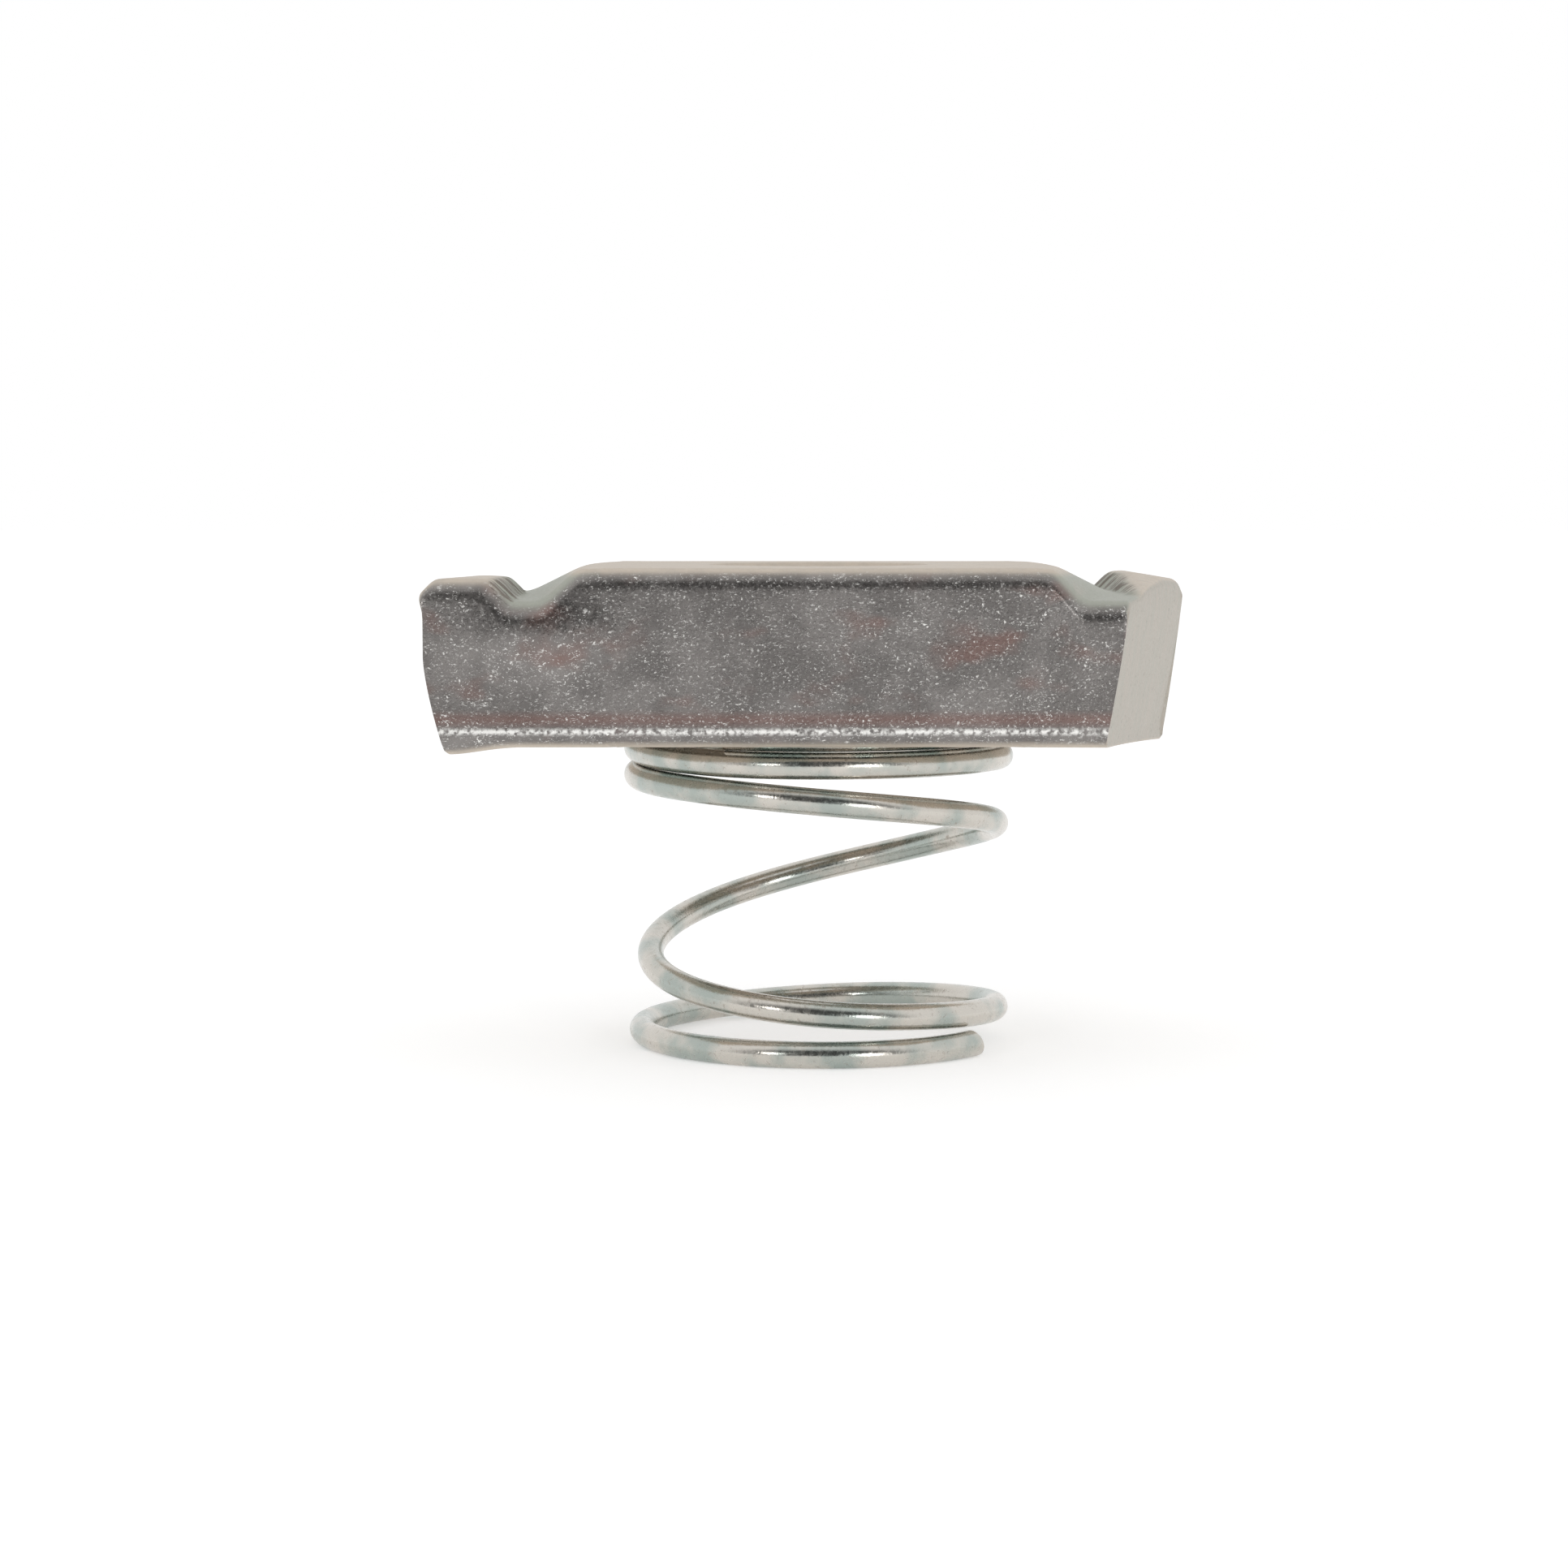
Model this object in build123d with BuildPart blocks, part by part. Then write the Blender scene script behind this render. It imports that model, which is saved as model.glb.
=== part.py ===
from build123d import *

import os
from math import atan2, cos, pi, radians, sin, tan

# Strut spring nut: a toothed channel nut plate with a short retaining spring under it.
# Millimetres, +Z up.  The origin is on the hole axis at the foot of the spring.
# X runs along the plate, and Y runs along its two lip grooves.

os.makedirs("parts", exist_ok=True)

# Nut plate: a bar of parallelogram plan with two sheared ends
plate_length = 35.2
plate_width = 20.0
plate_thickness = 7.8
end_lean = 13.0
end_taper = 1.0
end_taper_height = 3.4
end_roll = 0.6
long_edge_radius = 0.7

# Lip grooves pressed across the top, one each side of the plateau
plateau_half = 10.4
plateau_round = 2.0
groove_depth = 1.3
groove_run = 2.8
groove_floor = 0.25
wall_run = 0.8
ridge_drop = 0.42
ridge_fall = 6.0

# The press draws the grooves wider and deeper where they run out of the long sides
mouth_draw = 0.5
mouth_round = 0.6
mouth_depth = 1.5
mouth_run = 1.4
mouth_flare = 0.45
mouth_length = 2.0

# Teeth on the outer wall of each groove
tooth_pitch = 4.1
tooth_count = 5
tooth_depth = 0.5

# Threaded hole
thread_core_radius = 4.25
thread_chamfer = 0.8

# Spring: left-hand, closed at both ends, with about one open turn that draws in at its waist
wire_diameter = 1.2
cut_end_radius = 8.5
foot_coil_radius = 8.15
waist_radius = 7.7
seat_coil_radius = 8.38
spring_height = 15.21
closed_gap = 0.03

# Places along the wire, counted in turns from the front of the foot coil.  Each closed coil
# comes level at the rest turn for a share of a turn, and climbs by one wire in the remainder.
start_turn = -0.16
lift_turn = 0.25
waist_turn = 1.25
join_turn = 2.0
rest_turn = 2.8
rest_share = 0.28
turn_ease = 0.1
samples_per_turn = 12

# Pitch of the open coils, as shares of the steepest, at places along the wire
open_coils = ((0.45, 0.19), (0.9, 0.23), (1.05, 0.45), (1.3, 0.9), (1.6, 1.0), (1.85, 0.65), (2.05, 0.33))

# Ring seat for the top coil in the underside
seat_depth = 0.96
seat_clearance = 0.06
seat_gap = 0.02

climb_pitch = (wire_diameter + closed_gap) / (1 - rest_share)
end_turn = rest_turn + 1 + rest_share
underside = spring_height + seat_gap - seat_depth
top = underside + plate_thickness
wire_radius = wire_diameter / 2
groove_foot = plateau_half + groove_run
groove_wall_foot = groove_foot + groove_floor
half_width = plate_width / 2
half_length = plate_length / 2
lean = tan(radians(end_lean))
overshoot = 1.0


def bar_section(y, half, rounding, depth, foot, wall_foot):
    """The bar's outline at one place across it: plateau, two grooves and two ridges."""
    reach = half_length + overshoot
    wall_top = wall_foot + wall_run
    tip_drop = ridge_drop + (reach - wall_top) * tan(radians(ridge_fall))
    outline = [
        (half, top),
        (foot, top - depth),
        (wall_foot, top - depth),
        (wall_top, top - ridge_drop),
        (reach, top - tip_drop),
        (reach, underside),
    ]
    with BuildSketch(Plane.XZ.offset(-y)) as section:
        with BuildLine():
            Polyline(*outline, *[(-x, z) for x, z in reversed(outline)], close=True)
        make_face()
        plateau_corners = section.vertices().group_by(Axis.Y)[-1]
        fillet(plateau_corners, rounding)
    return section.sketch


def groove_section(y):
    return bar_section(y, plateau_half, plateau_round, groove_depth, groove_foot, groove_wall_foot)


def mouth_section(y):
    mouth_half = plateau_half - mouth_draw
    mouth_foot = plateau_half + mouth_run
    return bar_section(y, mouth_half, mouth_round, mouth_depth, mouth_foot, groove_wall_foot + mouth_flare)


def end_trim():
    """What the shear takes off one end: a drawn-in foot, a straight face and a rolled top edge."""
    along = Vector(-sin(radians(end_lean)), -cos(radians(end_lean)), 0)
    outward = Vector(cos(radians(end_lean)), -sin(radians(end_lean)), 0)
    end_middle = half_length - half_width * lean
    reach = half_width + 2 * overshoot + half_length * lean
    face_height = plate_thickness - ridge_drop
    beyond = half_width
    with BuildPart() as trim:
        with BuildSketch(Plane((end_middle, 0, underside), x_dir=outward, z_dir=along)):
            with BuildLine():
                foot_line = Line((-end_taper, 0), (0, end_taper_height))
                face_line = Line(foot_line @ 1, (0, face_height - end_roll))
                RadiusArc(face_line @ 1, (-end_roll, face_height), -end_roll)
                Polyline(
                    (-end_roll, face_height),
                    (-end_roll, plate_thickness + overshoot),
                    (beyond, plate_thickness + overshoot),
                    (beyond, -overshoot),
                    (-end_taper, -overshoot),
                    foot_line @ 0,
                )
            make_face()
        extrude(amount=reach, both=True)
    return trim.part


def tooth_gashes():
    """The scallops between the teeth: round cuts that run up the outer wall of one groove."""
    rise = groove_depth - ridge_drop
    slope = atan2(rise, wall_run)
    wall_foot = (groove_wall_foot, 0, top - groove_depth)
    scallop_radius = (tooth_pitch**2 / 4 + tooth_depth**2) / (2 * tooth_depth)
    wall_plane = Plane(wall_foot, x_dir=(0, 1, 0), z_dir=(cos(slope), 0, sin(slope)))
    with BuildPart() as gashes:
        with BuildSketch(wall_plane):
            with Locations((0, scallop_radius - tooth_depth)):
                with GridLocations(tooth_pitch, 0, tooth_count, 1):
                    Circle(scallop_radius)
        extrude(amount=half_length)
    return gashes.part


with BuildPart() as nut_plate:
    straight_half = half_width - mouth_length
    loft(
        [
            mouth_section(-half_width),
            groove_section(-straight_half),
            groove_section(straight_half),
            mouth_section(half_width),
        ],
        ruled=True,
    )
    long_sides = nut_plate.faces().filter_by(Axis.Y)
    long_edges = long_sides.edges().filter_by(Axis.Z, reverse=True)
    fillet(long_edges, long_edge_radius)
    with PolarLocations(0, 2):
        add(end_trim(), mode=Mode.SUBTRACT)
        add(tooth_gashes(), mode=Mode.SUBTRACT)
    with Locations((0, 0, top)):
        CounterSinkHole(thread_core_radius, thread_core_radius + thread_chamfer, counter_sink_angle=90)
    bore_foot = nut_plate.edges().filter_by(GeomType.CIRCLE).group_by(Axis.Z)[0]
    chamfer(bore_foot, thread_chamfer)
    with BuildSketch(Plane.XY.offset(underside)):
        Circle(seat_coil_radius + wire_radius + seat_clearance)
        Circle(seat_coil_radius - wire_radius - seat_clearance, mode=Mode.SUBTRACT)
    extrude(amount=seat_depth, mode=Mode.SUBTRACT)

nut_plate.part.label = "nut_plate"
export_step(nut_plate.part, "parts/nut_plate.step")


def along_wire(turn, places):
    """The value at one place along the wire, from (turn, value) pairs in order."""
    for (start, low), (end, high) in zip(places, places[1:]):
        if turn <= end:
            return low + (high - low) * (turn - start) / (end - start)
    return places[-1][1]


def pitch_at(turn, steepest):
    """The wire's pitch: none on the foot, steep in the middle, then level and climbing by turns."""
    before = -turn_ease / 2
    after = turn_ease / 2
    places = [(start_turn, 0.0), (lift_turn, 0.0)]
    places += [(place, share * steepest) for place, share in open_coils]
    places += [(open_coils[-1][0] + turn_ease, climb_pitch)]
    places += [(rest_turn + before, climb_pitch), (rest_turn + after, 0.0)]
    places += [(rest_turn + rest_share + before, 0.0), (rest_turn + rest_share + after, climb_pitch)]
    places += [(rest_turn + 1 + before, climb_pitch), (rest_turn + 1 + after, 0.0)]
    return along_wire(turn, places)


def radius_at(turn):
    """The coil radius: open at the cut end, drawn in at the waist, full in the seat."""
    places = [
        (start_turn, cut_end_radius),
        (lift_turn, foot_coil_radius),
        (waist_turn - 4 * turn_ease, foot_coil_radius),
        (waist_turn, waist_radius),
        (join_turn, seat_coil_radius),
    ]
    return along_wire(turn, places)


def wire_turns():
    count = round((end_turn - start_turn) * samples_per_turn)
    return [start_turn + (end_turn - start_turn) * i / count for i in range(count + 1)]


def wire_rises(steepest):
    """Height gained along the wire, from Simpson's rule over the pitch."""
    turns = wire_turns()
    rises = [0.0]
    for start, end in zip(turns, turns[1:]):
        middle = pitch_at((start + end) / 2, steepest)
        mean = (pitch_at(start, steepest) + 4 * middle + pitch_at(end, steepest)) / 6
        rises.append(rises[-1] + mean * (end - start))
    return rises


def wire_points():
    """The wire's centre line, with the steepest pitch worked out so that the spring has its height."""
    rise_wanted = spring_height - wire_diameter
    rise_closed = wire_rises(0.0)[-1]
    steepest = (rise_wanted - rise_closed) / (wire_rises(1.0)[-1] - rise_closed)
    points = []
    for turn, rise in zip(wire_turns(), wire_rises(steepest)):
        radius = radius_at(turn)
        angle = -pi / 2 - 2 * pi * turn
        points.append((radius * cos(angle), radius * sin(angle), wire_radius + rise))
    return points


with BuildPart() as spring:
    with BuildLine() as wire:
        Spline(*wire_points())
    with BuildSketch(Plane(origin=wire.line @ 0, z_dir=wire.line % 0)):
        Circle(wire_radius)
    sweep(is_frenet=True)

spring.part.label = "spring"
export_step(spring.part, "parts/spring.step")
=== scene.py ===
"""Strut spring nut in its finish: a zinc plated, toothed channel nut plate on a short wire spring.

Laid out as an add-on and run as a script.  Lengths in the functions are millimetres, in the
part's own frame: the origin is on the hole axis at the foot of the spring, X runs along the
plate, Y along its two lip grooves and Z up.  They become metres when a mesh is made.
"""

import math

import bmesh
import bpy
import numpy as np
from bpy.props import FloatProperty, FloatVectorProperty, IntProperty, PointerProperty
from bpy.types import Operator, Panel, PropertyGroup
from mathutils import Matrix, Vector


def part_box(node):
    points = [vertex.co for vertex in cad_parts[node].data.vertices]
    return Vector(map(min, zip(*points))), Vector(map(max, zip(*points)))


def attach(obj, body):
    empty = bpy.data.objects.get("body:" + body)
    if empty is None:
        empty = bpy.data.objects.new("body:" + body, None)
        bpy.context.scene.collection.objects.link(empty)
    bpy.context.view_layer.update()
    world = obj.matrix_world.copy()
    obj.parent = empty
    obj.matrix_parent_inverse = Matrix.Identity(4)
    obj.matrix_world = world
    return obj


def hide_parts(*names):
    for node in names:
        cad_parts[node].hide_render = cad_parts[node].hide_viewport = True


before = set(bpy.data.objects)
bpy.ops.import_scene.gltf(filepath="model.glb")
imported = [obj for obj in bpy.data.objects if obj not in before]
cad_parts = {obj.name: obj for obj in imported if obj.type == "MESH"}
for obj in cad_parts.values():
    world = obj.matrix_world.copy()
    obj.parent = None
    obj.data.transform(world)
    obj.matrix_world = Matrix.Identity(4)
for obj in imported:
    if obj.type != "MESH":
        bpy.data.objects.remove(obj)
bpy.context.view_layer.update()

bl_info = {
    "name": "Strut Spring Nut",
    "version": (1, 0, 0),
    "blender": (4, 5, 0),
    "location": "3D View > Sidebar > Strut Nut",
    "description": "Builds a toothed channel nut plate, its wire spring and a plain studio",
    "category": "Add Mesh",
}

MM = 0.001

PLATE_LOW, PLATE_HIGH = (np.array(corner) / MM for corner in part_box("nut_plate"))
SPRING_LOW, SPRING_HIGH = (np.array(corner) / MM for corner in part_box("spring"))
HALF_LENGTH, HALF_WIDTH = (float(v) for v in (PLATE_HIGH - PLATE_LOW)[:2] / 2)
UNDERSIDE = float(PLATE_LOW[2])
THICKNESS = float(PLATE_HIGH[2] - PLATE_LOW[2])
SPRING_HEIGHT = float(SPRING_HIGH[2])


# ---------------------------------------------------------------- settings

def length_setting(name, description, millimetres):
    return FloatProperty(name=name, description=description, default=float(millimetres) * MM,
                         min=0.0, precision=5, unit="LENGTH", subtype="DISTANCE")


def share_setting(name, description, default):
    return FloatProperty(name=name, description=description, default=default, min=0.0, max=1.0,
                         subtype="FACTOR")


def colour_setting(name, description, default):
    return FloatVectorProperty(name=name, description=description, default=default, size=3,
                               min=0.0, max=1.0, subtype="COLOR")


class StrutNutFinishSettings(PropertyGroup):
    # Long sides: partly their own darker rolled zinc, partly painted shade standing in for the dark front mirrored in
    # them
    dark_zinc_painted_shade: colour_setting("Dark zinc", "Rolled long sides, between the flecks", (0.25, 0.235, 0.225))
    # Flecks: zinc crystals whose sparkle is partly painted glints in a light matt colour; also the colour of the bright
    # band along the foot
    fleck_and_glint: colour_setting("Fleck", "Bright crystals in the long sides", (0.82, 0.81, 0.78))
    red_tint: colour_setting("Red tint", "Reddish bands and clouds on the long sides", (0.24, 0.13, 0.11))
    # Plateau and ridges: partly their own warm tone, partly painted light standing in for the bright surroundings
    # mirrored in them
    warm_zinc_painted_light: colour_setting("Warm zinc", "Plateau and ridges", (0.56, 0.49, 0.41))
    green_zinc: colour_setting("Green zinc", "Floors and flanks of the grooves", (0.36, 0.37, 0.32))
    sheared: colour_setting("Sheared face", "The two sheared ends", (0.44, 0.40, 0.35))
    stain: colour_setting("Stain", "Brown specks", (0.13, 0.10, 0.08))
    wire: colour_setting("Wire", "Spring wire", (0.60, 0.57, 0.52))
    wire_shade: colour_setting("Wire shade", "Green grey clouds on the spring wire", (0.40, 0.44, 0.41))
    wire_stain: colour_setting("Wire stain", "Brown drawing marks on the spring wire", (0.27, 0.22, 0.18))


class StrutNutPlateSettings(PropertyGroup):
    end_lean: FloatProperty(name="End lean", description="Slant of the sheared ends in plan",
                            default=math.radians(13.0), unit="ROTATION", subtype="ANGLE")
    end_roll: length_setting("End roll", "Radius of the rolled top edge of each end", 0.5)
    right_shift: length_setting("Right end shift", "How far the right end stands beyond its nominal place", 0.28)
    left_shift: length_setting("Left end shift", "How far the left end falls short of its nominal place", 0.36)
    right_droop: length_setting("Right droop", "How far the right acute corner is dragged down at its foot", 0.95)
    left_droop: length_setting("Left droop", "How far the left acute corner is dragged down at its foot", 0.34)
    end_taper: length_setting("End taper", "How far each end draws in at its foot", 0.95)
    right_taper_height: length_setting("Right taper height", "Height of the drawn-in foot of the right end", 5.8)
    left_taper_height: length_setting("Left taper height", "Height of the drawn-in foot of the left end", 4.0)
    top_round: length_setting("Top rounding", "Radius of the long edges at the top", 0.95)
    foot_round: length_setting("Foot rounding", "Radius of the long edges at the foot", 0.75)
    groove_depth: length_setting("Groove depth", "Depth of the lip grooves at mid width", 1.3)
    groove_start: length_setting("Groove start", "Where the inner flank leaves the plateau", 10.75)
    wall_place: length_setting("Wall place", "Where the toothed wall meets the ridge", 13.8)
    ridge_drop: length_setting("Ridge drop", "How far the outer ridges lie below the plateau", 0.42)
    mouth_depth: length_setting("Mouth depth", "Depth of the grooves where they run out", 1.45)
    tooth_pitch: length_setting("Tooth pitch", "Spacing of the teeth along each groove", 4.1)
    tooth_depth: length_setting("Tooth depth", "Depth of the scallops between the teeth", 0.5)
    core_radius: length_setting("Core radius", "Radius over the crests of the thread", 4.25)
    thread_radius: length_setting("Thread radius", "Radius at the roots of the thread", 5.0)
    thread_pitch: length_setting("Thread pitch", "Rise of the thread in one turn", 1.5)
    thread_chamfer: length_setting("Thread chamfer", "Chamfer at each mouth of the hole", 0.8)
    seat_inner: length_setting("Seat inner radius", "Inner radius of the spring's ring seat", 7.72)
    seat_outer: length_setting("Seat outer radius", "Outer radius of the spring's ring seat", 9.04)
    seat_depth: length_setting("Seat depth", "Depth of the spring's ring seat", 0.96)


class StrutNutSpringSettings(PropertyGroup):
    wire_diameter: length_setting("Wire diameter", "Thickness of the spring wire", 1.2)
    cut_end_radius: length_setting("Cut end radius", "Coil radius at the cut end", 8.5)
    foot_radius: length_setting("Foot coil radius", "Coil radius of the foot coil", 8.12)
    waist_radius: length_setting("Waist radius", "Coil radius where the open turn draws in", 7.7)
    seat_radius: length_setting("Seat coil radius", "Coil radius of the closed coils", 8.38)
    around: IntProperty(name="Steps around", description="Mesh steps around the wire", default=28, min=8)
    along: IntProperty(name="Steps along", description="Mesh steps in one turn", default=128, min=24)


# ---------------------------------------------------------------- grids and meshes

def smooth_step(value, low, high):
    """Zero below the low bound, one above the high one, eased by the cubic in between."""
    share = np.clip((value - low) / (high - low), 0.0, 1.0)
    return share * share * (3.0 - 2.0 * share)


def soft_min(first, second, width):
    """The lesser of two values, with a fillet of about the given width where they cross."""
    share = np.clip(0.5 + 0.5 * (second - first) / width, 0.0, 1.0)
    return second * (1.0 - share) + first * share - width * share * (1.0 - share)


def grid_faces(rows, columns):
    """Quads of a grid of points stored row after row."""
    corner = np.arange((rows - 1) * columns).reshape(rows - 1, columns)[:, :-1].ravel()
    return np.stack([corner, corner + 1, corner + columns + 1, corner + columns], axis=1)


def joined(patches):
    """One point list and one quad list from grids, with points that share a place made one."""
    points, faces, start = [], [], 0
    for patch in patches:
        rows, columns = patch.shape[:2]
        faces.append(grid_faces(rows, columns) + start)
        points.append(patch.reshape(-1, 3))
        start += rows * columns
    points = np.concatenate(points)
    keys = np.round(points * 1e4).astype(np.int64)
    unused, first, place = np.unique(keys, axis=0, return_index=True, return_inverse=True)
    return points[first], place.ravel()[np.concatenate(faces)]


def made_object(name, points, faces, crease):
    """A closed mesh in metres with outward normals, smooth but for edges over the crease angle."""
    mesh = bpy.data.meshes.new(name)
    mesh.from_pydata((points * MM).tolist(), [], faces.tolist())
    work = bmesh.new()
    work.from_mesh(mesh)
    bmesh.ops.dissolve_degenerate(work, dist=1e-8, edges=work.edges)
    bmesh.ops.recalc_face_normals(work, faces=work.faces)
    open_edges = sum(1 for edge in work.edges if len(edge.link_faces) != 2)
    if work.calc_volume(signed=True) < 0:
        bmesh.ops.reverse_faces(work, faces=work.faces)
    work.to_mesh(mesh)
    work.free()
    if open_edges:
        raise RuntimeError(f"{name} has {open_edges} open edges")
    mesh.shade_smooth()
    mesh.set_sharp_from_angle(angle=math.radians(crease))
    piece = bpy.data.objects.new(name, mesh)
    bpy.context.scene.collection.objects.link(piece)
    return piece


def add_attribute(mesh, name, values):
    attribute = mesh.attributes.new(name, "FLOAT", "POINT")
    attribute.data.foreach_set("value", np.ascontiguousarray(values, dtype=np.float32))


# ---------------------------------------------------------------- finishes

class NodeSheet:
    """Short names for the nodes of one material, with places in millimetres."""

    def __init__(self, name):
        self.material = bpy.data.materials.new(name)
        self.material.use_nodes = True
        self.tree = self.material.node_tree
        self.shader = self.tree.nodes["Principled BSDF"]
        coordinates = self.tree.nodes.new("ShaderNodeTexCoord")
        self.place = self.stretched(coordinates.outputs["Object"], (1 / MM, 1 / MM, 1 / MM))

    def put(self, socket, value):
        if isinstance(value, bpy.types.NodeSocket):
            self.tree.links.new(value, socket)
        else:
            socket.default_value = value

    def stretched(self, vector, scale):
        node = self.tree.nodes.new("ShaderNodeMapping")
        self.put(node.inputs["Vector"], vector)
        node.inputs["Scale"].default_value = scale
        return node.outputs["Vector"]

    def noise(self, scale, detail=2.0, rough=0.5, vector=None, twist=0.0):
        node = self.tree.nodes.new("ShaderNodeTexNoise")
        self.put(node.inputs["Vector"], vector or self.place)
        node.inputs["Scale"].default_value = scale
        node.inputs["Detail"].default_value = detail
        node.inputs["Roughness"].default_value = rough
        node.inputs["Distortion"].default_value = twist
        return node.outputs["Fac"]

    def attribute(self, name):
        node = self.tree.nodes.new("ShaderNodeAttribute")
        node.attribute_name = name
        return node.outputs["Fac"]

    def axis(self, letter):
        node = self.tree.nodes.new("ShaderNodeSeparateXYZ")
        self.put(node.inputs[0], self.place)
        return node.outputs[letter]

    def span(self, value, low, high, to_low=0.0, to_high=1.0):
        """The value carried from one range to another, eased and clamped."""
        node = self.tree.nodes.new("ShaderNodeMapRange")
        node.interpolation_type = "SMOOTHSTEP"
        for socket, item in zip(node.inputs, (value, low, high, to_low, to_high)):
            self.put(socket, item)
        return node.outputs["Result"]

    def math(self, operation, first, second=0.0):
        node = self.tree.nodes.new("ShaderNodeMath")
        node.operation = operation
        self.put(node.inputs[0], first)
        self.put(node.inputs[1], second)
        return node.outputs[0]

    def times(self, first, second):
        return self.math("MULTIPLY", first, second)

    def band(self, value, middle, half):
        """One at the middle of a band and zero past its half width."""
        away = self.math("ABSOLUTE", self.math("SUBTRACT", value, middle))
        return self.span(away, 0.0, half, 1.0, 0.0)

    def blend(self, share, first, second):
        node = self.tree.nodes.new("ShaderNodeMix")
        node.data_type = "RGBA"
        for index, item in ((0, share), (6, first), (7, second)):
            self.put(node.inputs[index], colour_of(item))
        return node.outputs[2]

    def bump(self, height, distance, strength, below=None):
        node = self.tree.nodes.new("ShaderNodeBump")
        self.put(node.inputs["Height"], height)
        node.inputs["Distance"].default_value = distance * MM
        node.inputs["Strength"].default_value = strength
        if below is not None:
            self.put(node.inputs["Normal"], below)
        return node.outputs["Normal"]

    def finish(self, **values):
        for name, value in values.items():
            self.put(self.shader.inputs[name.replace("_", " ").title()], colour_of(value))
        return self.material


def colour_of(item):
    """A colour property as four numbers; sockets and plain numbers as they are."""
    if isinstance(item, (bpy.types.NodeSocket, int, float)):
        return item
    return (*item, 1.0) if len(item) == 3 else item


def plate_finish(colours):
    """Bright zinc: flecked dark sides, warm plateau, green grey grooves and matt sheared ends; the sides' dark tone is
    partly painted shade, the plateau's light tone partly painted light, and the flecks and the foot band partly painted
    glints and highlight.
    """
    sheet = NodeSheet("zinc_plate")
    side = sheet.attribute("long_side")
    end = sheet.attribute("end_face")
    groove = sheet.attribute("groove")
    wall = sheet.attribute("tooth_wall")
    height = sheet.axis("Z")

    clouds = sheet.noise(0.55, 3.0)
    grain = sheet.noise(7.5, 3.0, 0.6, twist=0.6)
    crossed = sheet.noise(6.0, 2.0, 0.6, sheet.stretched(sheet.place, (1.0, 1.0, 2.2)), 1.2)
    # Flecks: zinc crystals, their sparkle partly painted glints as a light base colour with less metal
    flecks = sheet.span(sheet.math("MAXIMUM", grain, crossed), 0.60, 0.70)
    thin_out = sheet.span(sheet.noise(0.9, 2.0), 0.3, 0.7, 0.35, 1.0)
    flecks = sheet.times(sheet.times(flecks, thin_out), side)
    # A bright speckled band a fixed height above the foot: partly wear, partly a painted highlight for the pale floor
    # mirrored in the foot rounding
    foot_wear_and_highlight = sheet.band(height, UNDERSIDE + 0.72, 0.24)
    foot_wear_and_highlight = sheet.times(foot_wear_and_highlight, sheet.span(sheet.noise(4.5, 2.0), 0.36, 0.6))
    flecks = sheet.math("MAXIMUM", flecks, sheet.times(foot_wear_and_highlight, side))

    red_line = sheet.band(height, UNDERSIDE + 1.25, 0.5)
    red_clouds = sheet.span(sheet.noise(0.32, 2.0, 0.5, sheet.stretched(sheet.place, (1.0, 1.0, 1.6))), 0.55, 0.75)
    red = sheet.times(sheet.math("MAXIMUM", red_line, red_clouds), 0.55)
    # The long sides' dark tone: partly own colour, partly painted shade for the dark front mirrored in them
    dark = sheet.blend(sheet.span(clouds, 0.35, 0.65), colours.dark_zinc_painted_shade, [c * 0.72 for c in colours.dark_zinc_painted_shade])
    dark = sheet.blend(red, dark, colours.red_tint)

    # The plateau's light tone: partly own colour, partly painted light for the bright surroundings mirrored in it
    warm = sheet.blend(sheet.span(sheet.noise(1.3, 4.0), 0.4, 0.7, 0.0, 0.35), colours.warm_zinc_painted_light, colours.sheared)
    top = sheet.blend(groove, warm, colours.green_zinc)
    hatch = sheet.noise(1.0, 2.0, 0.6, sheet.stretched(sheet.place, (0.5, 4.2, 0.5)))
    hatch = sheet.times(sheet.span(hatch, 0.46, 0.56), wall)
    top = sheet.blend(sheet.times(hatch, 0.8), top, colours.stain)
    streaks = sheet.noise(1.0, 3.0, 0.6, sheet.stretched(sheet.place, (2.4, 2.4, 0.35)))
    cut = sheet.blend(sheet.span(streaks, 0.35, 0.7, 0.0, 0.5), colours.sheared, colours.green_zinc)
    specks = sheet.times(sheet.span(sheet.noise(3.2, 3.0, 0.65), 0.62, 0.74), 0.7)
    cut = sheet.blend(specks, cut, colours.stain)

    # Dark sides against a light top: partly their own tones, partly painted shade on the sides and painted light on the
    # top
    colour = sheet.blend(side, top, dark)
    colour = sheet.blend(end, colour, cut)
    colour = sheet.blend(flecks, colour, colours.fleck_and_glint)

    metal = sheet.span(side, 0.0, 1.0, 0.45, 0.92)
    metal = sheet.times(metal, sheet.span(flecks, 0.0, 1.0, 1.0, 0.35))
    rough = sheet.span(side, 0.0, 1.0, 0.5, 0.3)
    rough = sheet.math("ADD", rough, sheet.span(grain, 0.3, 0.7, -0.06, 0.1))
    normal = sheet.bump(grain, 0.02, 0.5)
    normal = sheet.bump(hatch, 0.06, 0.6, normal)
    return sheet.finish(base_color=colour, metallic=metal, roughness=rough, normal=normal)


def wire_finish(colours):
    """Drawn wire: smooth bright metal with faint clouds and marks along its length."""
    sheet = NodeSheet("zinc_wire")
    clouds = sheet.noise(0.45, 3.0)
    marks = sheet.noise(5.0, 3.0, 0.6, twist=0.8)
    colour = sheet.blend(sheet.span(clouds, 0.4, 0.65), colours.wire, colours.wire_shade)
    colour = sheet.blend(sheet.span(marks, 0.6, 0.75, 0.0, 0.6), colour, colours.wire_stain)
    rough = sheet.span(marks, 0.3, 0.7, 0.16, 0.3)
    normal = sheet.bump(marks, 0.012, 0.4)
    sheet.shader.inputs["Metallic"].default_value = 1.0
    return sheet.finish(base_color=colour, roughness=rough, normal=normal)


# ---------------------------------------------------------------- nut plate

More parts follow.
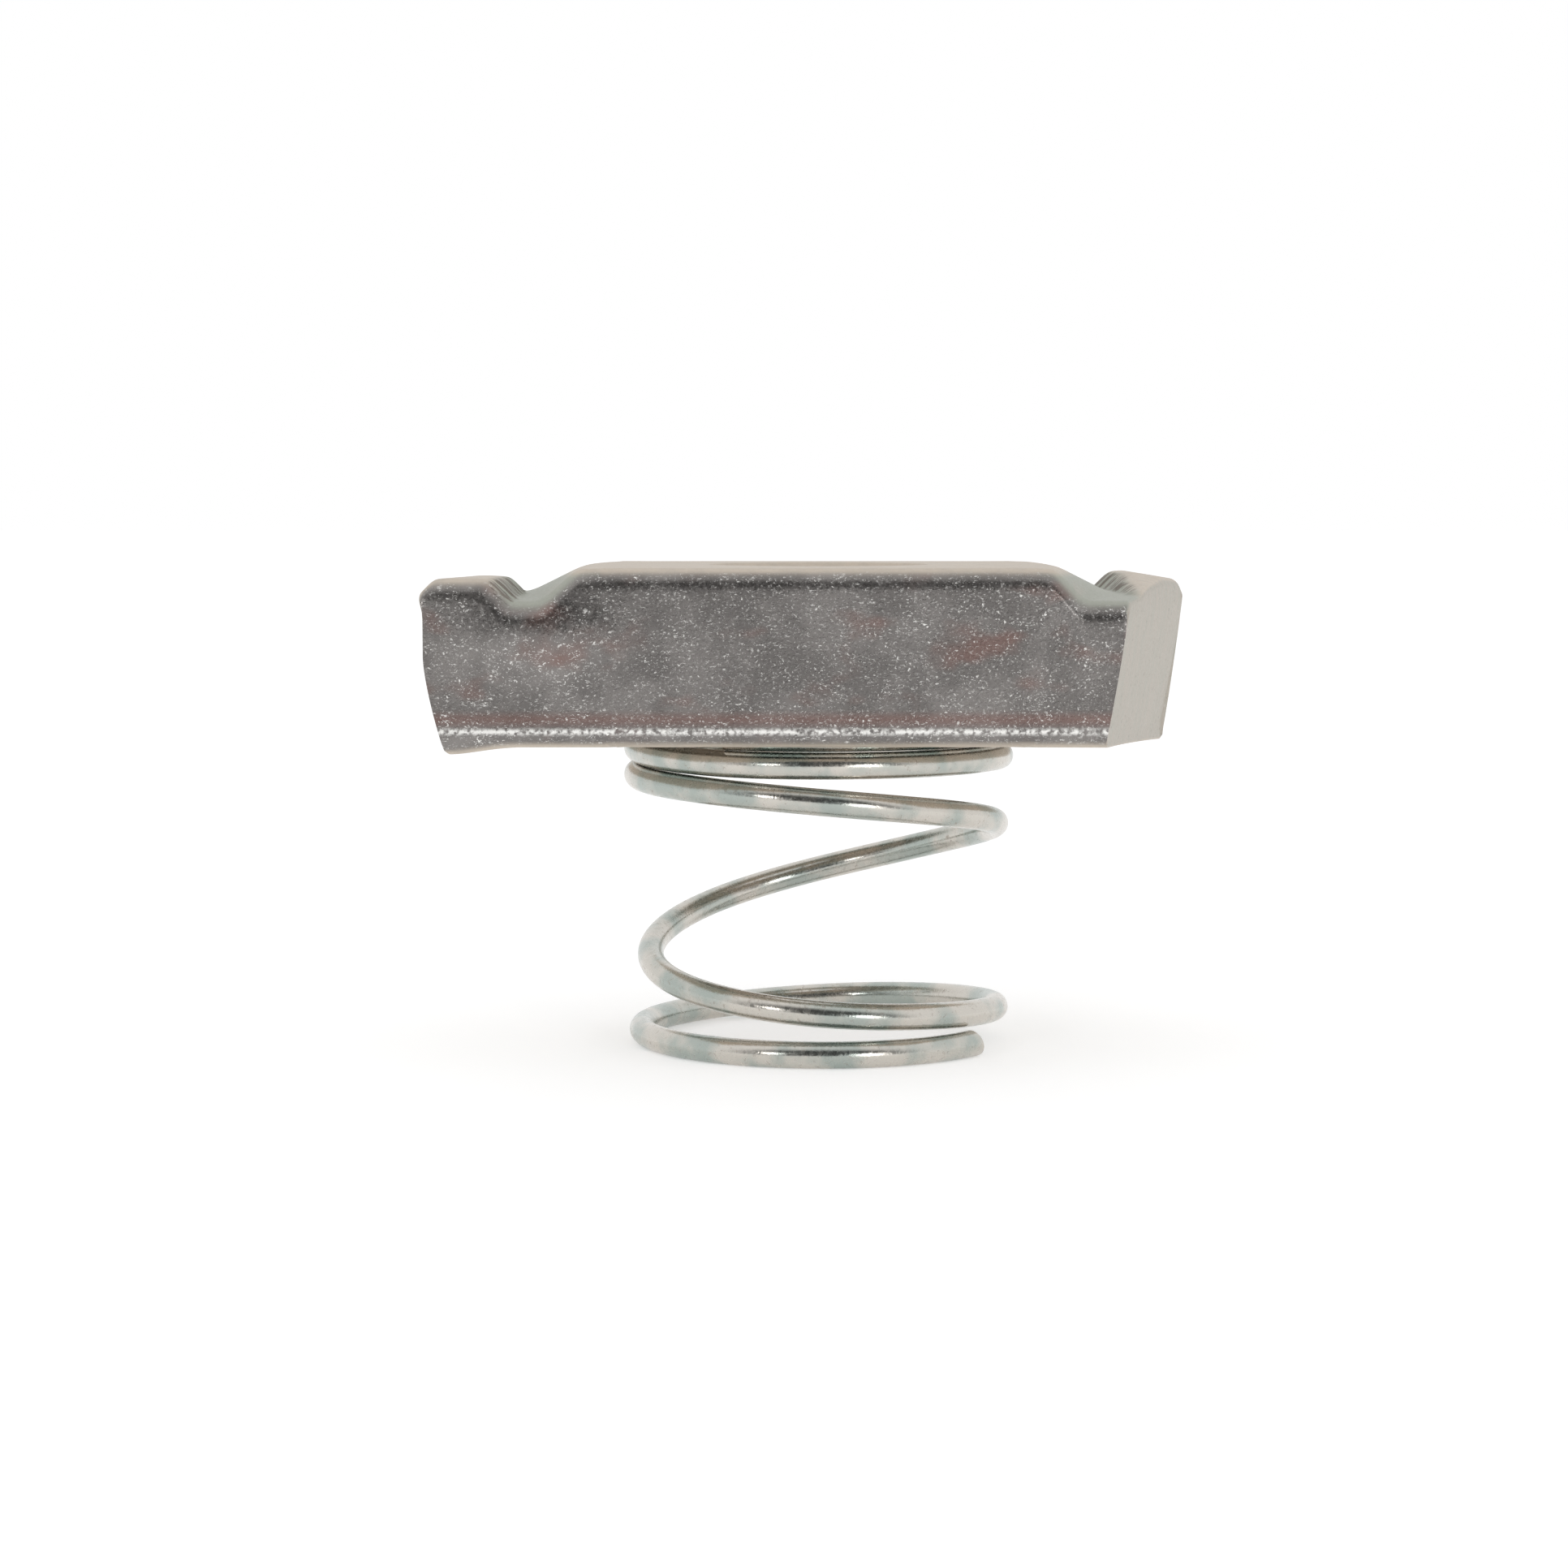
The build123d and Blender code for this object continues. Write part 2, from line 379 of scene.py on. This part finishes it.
class PlateForm:
    """The plate's surface: places in a plain block, and the formulas that shape them."""

    block_half = 9.3

    def __init__(self, settings):
        for name in settings.__annotations__:
            value = getattr(settings, name)
            setattr(self, name, value if name == "end_lean" else value / MM)
        self.slope = math.tan(self.end_lean)

    def end_at(self, b, side):
        """Length from the middle to the sheared end, at a place across the plate."""
        shift = np.where(side > 0, self.right_shift, -self.left_shift)
        return HALF_LENGTH + shift - (HALF_WIDTH - b) * self.slope

    def scallop(self, b):
        """Circular bites between the teeth: zero on each crest, one midway between two."""
        phase = (b - 0.1) / self.tooth_pitch
        from_crest = np.abs(phase - np.round(phase)) * 2.0
        teeth_end = smooth_step(np.abs(b), 8.7, 9.5)
        return np.sqrt(np.clip(1.0 - (1.0 - from_crest) ** 2, 0.0, 1.0)) * (1.0 - teeth_end)

    def drop(self, a, b, side):
        """Depth below the plateau, from the distance along (a) and the place across (b).

        The section is the lesser of three depths: the inner flank, which falls from the
        plateau; the floor; and the toothed wall, which climbs to a ridge that sinks towards
        its thin end.  Towards the long sides the flank and the wall draw apart into a mouth.
        """
        share = np.clip(np.abs(b) / HALF_WIDTH, 0.0, 1.0)
        near = share ** 2.6
        last = share ** 9
        acute = np.where(b > 0, 1.0, 0.0)
        start = self.groove_start - near * (0.2 * acute + 0.75 * (1 - acute))
        steep = 0.5 + near * (0.5 * acute + 0.7 * (1 - acute))
        depth = self.groove_depth + (self.mouth_depth - self.groove_depth) * near
        wall = self.wall_place + last * 0.9 * acute + self.tooth_depth * self.scallop(b)
        over = a - start
        flank = 0.5 * steep * (over + np.sqrt(over * over + 0.05))
        thin = 0.087 * np.clip(3.5 - b, 0.0, 12.0)
        fall = np.where(side > 0, 0.17, 0.02) * np.maximum(0.0, a - self.wall_place - 1.0)
        ridge = self.ridge_drop + thin + fall
        climb = wall - a
        toothed = ridge + 0.525 * (climb + np.sqrt(climb * climb + 0.05))
        groove = soft_min(flank, depth, 0.3)
        return soft_min(groove, toothed, 0.15)

    def end_form(self, z, side):
        """How far the end stands off its plane: drawn in below, and on the left a lip at the top."""
        height = np.where(side > 0, self.right_taper_height, self.left_taper_height)
        curve = np.where(side > 0, 1.15, 1.4)
        foot = np.clip(1.0 - z / height, 0.0, 1.0) ** curve
        lip = np.where(side > 0, 0.0, 0.16) * np.exp(-((z - (THICKNESS - 1.3)) / 0.45) ** 2)
        return lip - self.end_taper * foot

    def bulge(self, a, b, z):
        """How far metal pushed aside by the acute mouths stands out of the long sides."""
        beside = np.exp(-((a - 12.4) / 2.6) ** 2) * np.exp(-((z - (THICKNESS - 2.9)) / 1.25) ** 2)
        return 0.28 * beside * smooth_step(b, 7.0, HALF_WIDTH)

    def shaped(self, x, y, z):
        """The finished place of each point of the plain block, whose foot is at z = 0.

        The long edges are rounded by drawing the corner zones onto arcs; the top sinks by the
        groove depth and the end roll, less and less down the sides; the ends draw in at the
        foot; the acute corners droop; and the sides bulge under the acute mouths.
        """
        side = np.where(x < 0, -1.0, 1.0)
        a = np.abs(x)
        b = y * side
        radius = np.where(z > THICKNESS / 2, self.top_round, self.foot_round)
        inner_y = np.clip(y, radius - HALF_WIDTH, HALF_WIDTH - radius)
        inner_z = np.clip(z, radius, THICKNESS - radius)
        over_y, over_z = y - inner_y, z - inner_z
        corner = (over_y != 0) & (over_z != 0)
        reach = np.where(corner, np.hypot(over_y, over_z), 1.0)
        y = np.where(corner, inner_y + over_y / reach * radius, y)
        z = np.where(corner, inner_z + over_z / reach * radius, z)
        from_end = np.maximum(0.0, (self.end_at(b, side) - a) * math.cos(self.end_lean))
        roll_radius = self.end_roll * (0.5 + 0.5 * smooth_step(b, -4.0, 6.0))
        roll_in = np.clip(1.0 - from_end / roll_radius, 0.0, 1.0)
        roll = roll_radius * (1.0 - np.sqrt(1.0 - roll_in * roll_in))
        lowered = smooth_step(z, 0.25 * THICKNESS, THICKNESS - 1.3)
        in_groove = smooth_step(a, self.block_half + 0.01, self.block_half + 0.3)
        z = z - (self.drop(a, y * side, side) * in_groove + roll) * lowered
        a = a + self.end_form(z, side) * np.clip(1.0 - from_end / 4.5, 0.0, 1.0) ** 2
        right = smooth_step(from_end, 7.0, -1.0) * ((b + HALF_WIDTH) / (2 * HALF_WIDTH)) ** 1.2
        left = smooth_step(from_end, 4.0, 0.0) * smooth_step(b, 3.0, HALF_WIDTH + 1.0)
        low = 1.0 - smooth_step(z, 0.0, 0.8 * THICKNESS)
        z = z - np.where(side > 0, right * self.right_droop, left * self.left_droop) * low
        out = self.bulge(a, b, z) * smooth_step(np.abs(y), HALF_WIDTH - 1.2, HALF_WIDTH - 0.3)
        y = y + np.sign(y) * out
        return np.stack([a * side, y, z + UNDERSIDE], axis=-1)


def rounded_steps(low, high, count, radius):
    """Steps along one side of a block, closer in the corner zones, which hold six steps each."""
    turns = np.tan(np.linspace(0.0, math.pi / 4, 7))[::-1]
    near = low + radius * (1.0 - turns)
    middle = np.linspace(low + radius, high - radius, count - 11)
    return np.concatenate([near, middle[1:-1], (low + high) - near[::-1]])


def end_steps(form, count):
    """Shares of the way to the end, and lengths off it: even steps, then steps round the roll."""
    turns = np.linspace(0.0, math.pi / 2, 11)
    off_end = form.end_roll * (1.0 - np.sin(turns)) / math.cos(form.end_lean)
    shares = np.concatenate([np.linspace(0.0, 1.0, count - 10), np.ones(10)])
    offs = np.concatenate([np.full(count - 10, off_end[0]), off_end[1:]])
    return shares, offs


def loop_round_block(ys, zs):
    """The four sides of the block's section as one closed loop: top, back, foot, front."""
    top = np.stack([ys, np.full_like(ys, THICKNESS)], axis=1)
    back = np.stack([np.full_like(zs, HALF_WIDTH), zs[::-1]], axis=1)
    foot = np.stack([ys[::-1], np.zeros_like(ys)], axis=1)
    front = np.stack([np.full_like(zs, -HALF_WIDTH), zs], axis=1)
    return np.concatenate([top[:-1], back[:-1], foot[:-1], front])


def strip_patch(form, side, ys, zs, count):
    """One end of the plate as rings around its section, from the middle block to the end."""
    loop = loop_round_block(ys, zs)
    shares, offs = end_steps(form, count)
    y = np.broadcast_to(loop[:, 0], (count, len(loop)))
    z = np.broadcast_to(loop[:, 1], (count, len(loop)))
    reach = form.end_at(y * side, side) - form.block_half
    a = form.block_half + (reach - offs[0]) * shares[:, None] + (offs[0] - offs[:, None])
    return form.shaped(a * side, y, z)


def cap_patch(form, side, ys, zs):
    """The sheared end face: its rim is the strip's last ring, and each inner point lies between
    the rim points of its row and of its column (a Coons patch)."""
    y, z = np.meshgrid(ys, zs)
    rim = form.shaped(form.end_at(y * side, side) * side, y, z)
    v = (zs / THICKNESS)[:, None, None]
    u = ((ys + HALF_WIDTH) / (2 * HALF_WIDTH))[None, :, None]
    across = rim[:, :1] * (1 - u) + rim[:, -1:] * u
    upward = rim[:1] * (1 - v) + rim[-1:] * v
    corners = (rim[:1, :1] * (1 - u) + rim[:1, -1:] * u) * (1 - v) + (rim[-1:, :1] * (1 - u) + rim[-1:, -1:] * u) * v
    blend = across + upward - corners
    plane = form.end_at(blend[..., 1] * side, side) + form.end_form(blend[..., 2] - UNDERSIDE, side)
    flat = np.stack([plane * side, blend[..., 1], blend[..., 2]], axis=-1)
    inside = np.zeros((len(zs), len(ys), 1), dtype=bool)
    inside[1:-1, 1:-1] = True
    return np.where(inside, flat, rim)


def side_patch(form, y_side, xs, zs):
    """The front or back of the middle block."""
    x, z = np.meshgrid(xs, zs)
    return form.shaped(x, np.full_like(x, y_side), z)


def block_rim(xs, ys):
    """The middle block's outline in plan, as a closed loop that starts and ends at one corner."""
    front = np.stack([xs, np.full_like(xs, -HALF_WIDTH)], axis=1)
    right = np.stack([np.full_like(ys, xs[-1]), ys], axis=1)
    back = np.stack([xs[::-1], np.full_like(xs, HALF_WIDTH)], axis=1)
    left = np.stack([np.full_like(ys, xs[0]), ys[::-1]], axis=1)
    return np.concatenate([front[:-1], right[:-1], back[:-1], left])


def rim_turns(rim):
    """The turn of each rim point about the hole axis, unwrapped so that it runs on without a jump."""
    return np.unwrap(np.arctan2(rim[:, 1], rim[:, 0]))


def ring_patch(form, rim, circles, steps, height):
    """A face of the middle block: round rows about the hole, then rows that grow to the rim."""
    turns = rim_turns(rim)
    around = np.stack([np.cos(turns), np.sin(turns)], axis=1)
    rows = [form_points for form_points in (
        np.concatenate([around * radius, np.full((len(rim), 1), z + UNDERSIDE)], axis=1)
        for radius, z in circles)]
    last = circles[-1][0]
    for share in np.asarray(steps)[1:]:
        plan = around * last * (1 - share) + rim * share
        rows.append(form.shaped(plan[:, 0], plan[:, 1], np.full(len(rim), height)))
    return np.stack(rows)


def bore_patch(form, rim, count):
    """The threaded hole: the wider of a vee thread and the two chamfer cones, row by row."""
    turns = rim_turns(rim)[None, :]
    z = np.linspace(THICKNESS, 0.0, count)[:, None]
    rise = (z / form.thread_pitch - turns / (2 * math.pi)) % 1.0
    vee = np.clip(np.abs(rise - 0.5) * 2.0 * 1.2 - 0.1, 0.0, 1.0)
    thread = form.thread_radius - (form.thread_radius - form.core_radius) * vee
    rim_radius = form.core_radius + form.thread_chamfer
    cones = rim_radius - np.minimum(z, THICKNESS - z)
    radius = np.maximum(np.where((z <= 0) | (z >= THICKNESS), rim_radius, thread), cones)
    return np.stack([radius * np.cos(turns), radius * np.sin(turns), z + UNDERSIDE + 0 * turns], axis=-1)


def plate_patches(form):
    ys = rounded_steps(-HALF_WIDTH, HALF_WIDTH, 120, 0.95)
    zs = rounded_steps(0.0, THICKNESS, 36, 0.95)
    xs = np.linspace(-form.block_half, form.block_half, 41)
    rim = block_rim(xs, ys)
    rim_radius = form.core_radius + form.thread_chamfer
    near_edge = np.array([0.0, 0.12, 0.25, 0.38, 0.5, 0.61, 0.71, 0.8, 0.87, 0.92, 0.95, 0.975, 1.0])
    seat = [(rim_radius, 0.0), (6.0, 0.0), (7.0, 0.0), (form.seat_inner - 0.1, 0.0), (form.seat_inner, 0.1),
            (form.seat_inner, form.seat_depth - 0.25), (form.seat_inner + 0.1, form.seat_depth),
            (form.seat_outer - 0.1, form.seat_depth), (form.seat_outer, form.seat_depth - 0.25),
            (form.seat_outer, 0.1), (form.seat_outer + 0.1, 0.0)]
    outer_steps = np.array([0.0, 0.25, 0.5, 0.7, 0.85, 1.0])
    patches = [strip_patch(form, side, ys, zs, 62) for side in (-1, 1)]
    patches += [cap_patch(form, side, ys, zs) for side in (-1, 1)]
    patches += [side_patch(form, y, xs, zs) for y in (-HALF_WIDTH, HALF_WIDTH)]
    patches.append(ring_patch(form, rim, [(rim_radius, THICKNESS)], near_edge, THICKNESS))
    patches.append(ring_patch(form, rim, seat, outer_steps, 0.0))
    patches.append(bore_patch(form, rim, 64))
    return patches


def mark_plate(mesh):
    """Shares that tell the finish where it is: long sides, sheared ends, grooves and toothed walls."""
    count = len(mesh.vertices)
    place = np.empty(count * 3, dtype=np.float32)
    normal = np.empty(count * 3, dtype=np.float32)
    mesh.vertices.foreach_get("co", place)
    mesh.vertex_normals.foreach_get("vector", normal)
    x, y, z = (place.reshape(-1, 3) / MM).T
    nx, ny, nz = normal.reshape(-1, 3).T
    side = np.sign(x)
    a = np.abs(x)
    depth = UNDERSIDE + THICKNESS - z
    outer = np.abs(y) > HALF_WIDTH - 1.5
    add_attribute(mesh, "long_side", smooth_step(np.abs(ny), 0.45, 0.85) * outer)
    add_attribute(mesh, "end_face", smooth_step(nx * side, 0.55, 0.85) * (a > 11.0))
    grooved = smooth_step(depth, 0.1, 0.5) * (1 - smooth_step(a, 13.8, 14.6)) * (nz > 0.2) * (a > 9.5)
    add_attribute(mesh, "groove", grooved)
    add_attribute(mesh, "tooth_wall", smooth_step(-nx * side, 0.25, 0.5) * (a > 12.8) * (nz > 0.1))


class STRUTNUT_OT_plate(Operator):
    """Build the nut plate with its flared, toothed grooves, ring seat and threaded hole"""
    bl_idname = "strut_nut.plate"
    bl_label = "Build nut plate"

    def execute(self, context):
        form = PlateForm(context.scene.strut_nut_plate)
        points, faces = joined(plate_patches(form))
        piece = made_object("nut_plate_body", points, faces, 40.0)
        mark_plate(piece.data)
        piece.data.materials.append(plate_finish(context.scene.strut_nut_finish))
        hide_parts("nut_plate")
        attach(piece, "root")
        return {"FINISHED"}


# ---------------------------------------------------------------- spring

START_TURN, LIFT_TURN, WAIST_TURN, JOIN_TURN = -0.152, 0.25, 1.25, 2.0
REST_TURN, REST_SHARE, TURN_EASE, CLOSED_GAP = 2.8, 0.28, 0.1, 0.03
END_TURN = REST_TURN + 1 + REST_SHARE
OPEN_COILS = ((0.32, 0.0), (0.5, 0.24), (0.95, 0.22), (1.1, 0.5), (1.3, 0.93), (1.6, 1.0), (1.85, 0.56), (2.05, 0.3))


def pitch_along(turns, steepest, wire):
    """The wire's rise per turn: none on the foot, steep in the middle, then level and climbing."""
    climb = (wire + CLOSED_GAP) / (1 - REST_SHARE)
    half = TURN_EASE / 2
    leave = REST_TURN + REST_SHARE
    places = [START_TURN, LIFT_TURN] + [place for place, share in OPEN_COILS]
    places += [OPEN_COILS[-1][0] + TURN_EASE, REST_TURN - half, REST_TURN + half]
    places += [leave - half, leave + half, REST_TURN + 1 - half, REST_TURN + 1 + half]
    pitches = [0.0, 0.0] + [share * steepest for place, share in OPEN_COILS]
    pitches += [climb, climb, 0.0, 0.0, climb, climb, 0.0]
    return np.interp(turns, places, pitches)


def rises_along(turns, steepest, wire):
    pitch = pitch_along(turns, steepest, wire)
    return np.concatenate([[0.0], np.cumsum((pitch[1:] + pitch[:-1]) / 2 * np.diff(turns))])


def coil_radii(turns, settings):
    """Open at the cut end, drawn in at the waist and full in the closed coils, eased by a window."""
    places = [START_TURN - 0.3, START_TURN, LIFT_TURN, WAIST_TURN - 0.4, WAIST_TURN, JOIN_TURN]
    radii = [settings.cut_end_radius, settings.cut_end_radius, settings.foot_radius,
             settings.foot_radius + 0.08 * MM, settings.waist_radius, settings.seat_radius]
    width = 0.12
    shifts = np.linspace(-width, width, 9)
    return np.mean([np.interp(turns + shift, places, radii) for shift in shifts], axis=0) / MM


def wire_line(turns, settings):
    """The wire's centre line, with the steepest pitch set so that the spring has its height."""
    wire = settings.wire_diameter / MM
    wanted = SPRING_HEIGHT - wire
    closed = rises_along(turns, 0.0, wire)[-1]
    steepest = (wanted - closed) / (rises_along(turns, 1.0, wire)[-1] - closed)
    radii = coil_radii(turns, settings)
    angle = -math.pi / 2 - 2 * math.pi * turns
    z = wire / 2 + rises_along(turns, steepest, wire)
    return np.stack([radii * np.cos(angle), radii * np.sin(angle), z], axis=1)


def wire_patches(settings):
    """A tube round the centre line, and at each end a chamfered disc that closes on its pole."""
    count = int(round((END_TURN - START_TURN) * settings.along)) + 1
    turns = np.linspace(START_TURN, END_TURN, count)
    line = wire_line(turns, settings)
    radius = settings.wire_diameter / MM / 2
    heading = np.gradient(line, axis=0)
    heading /= np.linalg.norm(heading, axis=1, keepdims=True)
    outward = line * [1.0, 1.0, 0.0]
    outward -= heading * np.sum(outward * heading, axis=1, keepdims=True)
    outward /= np.linalg.norm(outward, axis=1, keepdims=True)
    upward = np.cross(outward, heading)
    upward *= np.sign(upward[:, 2:3])
    around = np.linspace(0.0, 2 * math.pi, settings.around + 1)
    around[-1] = 0.0
    ring = np.cos(around)[None, :, None] * outward[:, None] + np.sin(around)[None, :, None] * upward[:, None]
    tube = line[:, None] + radius * ring
    patches = []
    trim = 0.12
    for end, step in ((0, -1), (-1, 1)):
        shares = np.array([1.0, 1.0 - trim, 0.6, 0.0])
        away = np.array([0.0, 0.05, 0.06, 0.06])
        slant = -0.3 * radius * np.sin(around)[None, :, None] * shares[:, None, None]
        offset = (away[:, None, None] + slant) * step * heading[end]
        patches.append(line[end] + shares[:, None, None] * radius * ring[end] + offset)
        near = np.abs(np.arange(count) - (count - 1) * (end == -1)) / 10.0
        tube += (slant[0] * step * np.clip(1.0 - near, 0.0, 1.0)[:, None, None]) * heading[end]
    patches.append(tube)
    return patches


class STRUTNUT_OT_spring(Operator):
    """Wind the left-hand wire spring, closed at both ends, with its two cut ends"""
    bl_idname = "strut_nut.spring"
    bl_label = "Wind spring"

    def execute(self, context):
        settings = context.scene.strut_nut_spring
        points, faces = joined(wire_patches(settings))
        piece = made_object("spring_wire", points, faces, 40.0)
        piece.data.materials.append(wire_finish(context.scene.strut_nut_finish))
        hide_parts("spring")
        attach(piece, "root")
        return {"FINISHED"}


# ---------------------------------------------------------------- stage

def add_camera(scene):
    """A long lens a little above the plateau, turned down so that the part is in mid frame."""
    data = bpy.data.cameras.new("camera")
    data.sensor_width = 36.0
    data.lens = 80.2
    data.clip_start = 0.001
    camera = bpy.data.objects.new("camera", data)
    camera.location = (-1.97 * MM, -161.0 * MM, UNDERSIDE * MM + (THICKNESS + 2.8) * MM)
    camera.rotation_euler = (math.radians(90.0 - 4.596), 0.0, math.radians(-0.133))
    scene.collection.objects.link(camera)
    scene.camera = camera


def add_world(scene):
    """White all round for the camera and for reflections, but for a dim front, as in a studio
    where the wall behind the camera is dark; an even light for matt surfaces."""
    world = bpy.data.worlds.new("studio")
    scene.world = world
    world.use_nodes = True
    tree = world.node_tree
    tree.nodes.clear()

    def node(kind, **inputs):
        made = tree.nodes.new(kind)
        for key, value in inputs.items():
            socket = made.inputs[int(key[1:])]
            if isinstance(value, bpy.types.NodeSocket):
                tree.links.new(value, socket)
            else:
                socket.default_value = value
        return made

    direction = node("ShaderNodeTexCoord").outputs["Generated"]
    parts = node("ShaderNodeSeparateXYZ", i0=direction)
    front = node("ShaderNodeMapRange", i0=parts.outputs["Y"], i1=-0.45, i2=-0.8, i3=0.0, i4=1.0)
    front.interpolation_type = "SMOOTHSTEP"
    seen = node("ShaderNodeMapRange", i0=front.outputs[0], i1=0.0, i2=1.0, i3=1.0, i4=0.07)
    paths = node("ShaderNodeLightPath")
    mirrored = node("ShaderNodeMath", i0=paths.outputs["Is Glossy Ray"], i1=paths.outputs["Is Transmission Ray"])
    mirrored.operation = "MAXIMUM"
    matt = node("ShaderNodeMix", i0=mirrored.outputs[0], i2=0.85, i3=seen.outputs[0])
    strength = node("ShaderNodeMix", i0=paths.outputs["Is Camera Ray"], i2=matt.outputs[0], i3=1.0)
    background = node("ShaderNodeBackground", i0=(1.0, 1.0, 1.0, 1.0), i1=strength.outputs[0])
    node_out = tree.nodes.new("ShaderNodeOutputWorld")
    tree.links.new(background.outputs[0], node_out.inputs[0])


def add_floor(scene):
    """A pale floor that glows a little, so that it is white but still takes a soft shadow."""
    half = 3.0
    mesh = bpy.data.meshes.new("floor")
    mesh.from_pydata([(-half, -half, 0), (half, -half, 0), (half, half, 0), (-half, half, 0)], [], [(0, 1, 2, 3)])
    floor = bpy.data.objects.new("floor", mesh)
    scene.collection.objects.link(floor)
    material = bpy.data.materials.new("pale_floor")
    material.use_nodes = True
    shader = material.node_tree.nodes["Principled BSDF"]
    shader.inputs["Base Color"].default_value = (0.82, 0.82, 0.82, 1.0)
    shader.inputs["Roughness"].default_value = 0.9
    shader.inputs["Specular IOR Level"].default_value = 0.0
    shader.inputs["Emission Color"].default_value = (1.0, 1.0, 1.0, 1.0)
    shader.inputs["Emission Strength"].default_value = 0.36
    mesh.materials.append(material)


def add_softbox(scene, name, azimuth, elevation, distance, size, watts):
    """A rectangular lamp that faces the part from a bearing counted from the front."""
    data = bpy.data.lights.new(name, "AREA")
    data.shape = "RECTANGLE"
    data.size, data.size_y = size
    data.energy = watts
    lamp = bpy.data.objects.new(name, data)
    bearing, rise = math.radians(azimuth), math.radians(elevation)
    lamp.location = (distance * math.sin(bearing) * math.cos(rise), -distance * math.cos(bearing) * math.cos(rise),
                     0.012 + distance * math.sin(rise))
    lamp.rotation_euler = (math.pi / 2 - rise, 0.0, bearing)
    scene.collection.objects.link(lamp)


class STRUTNUT_OT_stage(Operator):
    """Set the camera, the white surroundings, the floor and the soft lights"""
    bl_idname = "strut_nut.stage"
    bl_label = "Set stage"

    def execute(self, context):
        scene = context.scene
        scene.view_settings.view_transform = "Standard"
        add_camera(scene)
        add_world(scene)
        add_floor(scene)
        add_softbox(scene, "right_softbox", 27.0, 3.0, 0.6, (0.09, 0.16), 0.7)
        add_softbox(scene, "left_softbox", -30.0, 12.0, 0.6, (0.05, 0.12), 0.25)
        return {"FINISHED"}


class STRUTNUT_PT_panel(Panel):
    """Sidebar panel with the build steps and their settings"""
    bl_idname = "STRUTNUT_PT_panel"
    bl_label = "Strut Spring Nut"
    bl_space_type = "VIEW_3D"
    bl_region_type = "UI"
    bl_category = "Strut Nut"

    def draw(self, context):
        for operator in (STRUTNUT_OT_plate, STRUTNUT_OT_spring, STRUTNUT_OT_stage):
            self.layout.operator(operator.bl_idname)


CLASSES = (StrutNutFinishSettings, StrutNutPlateSettings, StrutNutSpringSettings, STRUTNUT_OT_plate, STRUTNUT_OT_spring,
           STRUTNUT_OT_stage, STRUTNUT_PT_panel)


def register():
    for item in CLASSES:
        bpy.utils.register_class(item)
    bpy.types.Scene.strut_nut_finish = PointerProperty(type=StrutNutFinishSettings)
    bpy.types.Scene.strut_nut_plate = PointerProperty(type=StrutNutPlateSettings)
    bpy.types.Scene.strut_nut_spring = PointerProperty(type=StrutNutSpringSettings)


def unregister():
    del bpy.types.Scene.strut_nut_spring
    del bpy.types.Scene.strut_nut_plate
    del bpy.types.Scene.strut_nut_finish
    for item in reversed(CLASSES):
        bpy.utils.unregister_class(item)


def main():
    register()
    bpy.ops.strut_nut.stage()
    bpy.ops.strut_nut.plate()
    bpy.ops.strut_nut.spring()


if __name__ == "__main__":
    main()
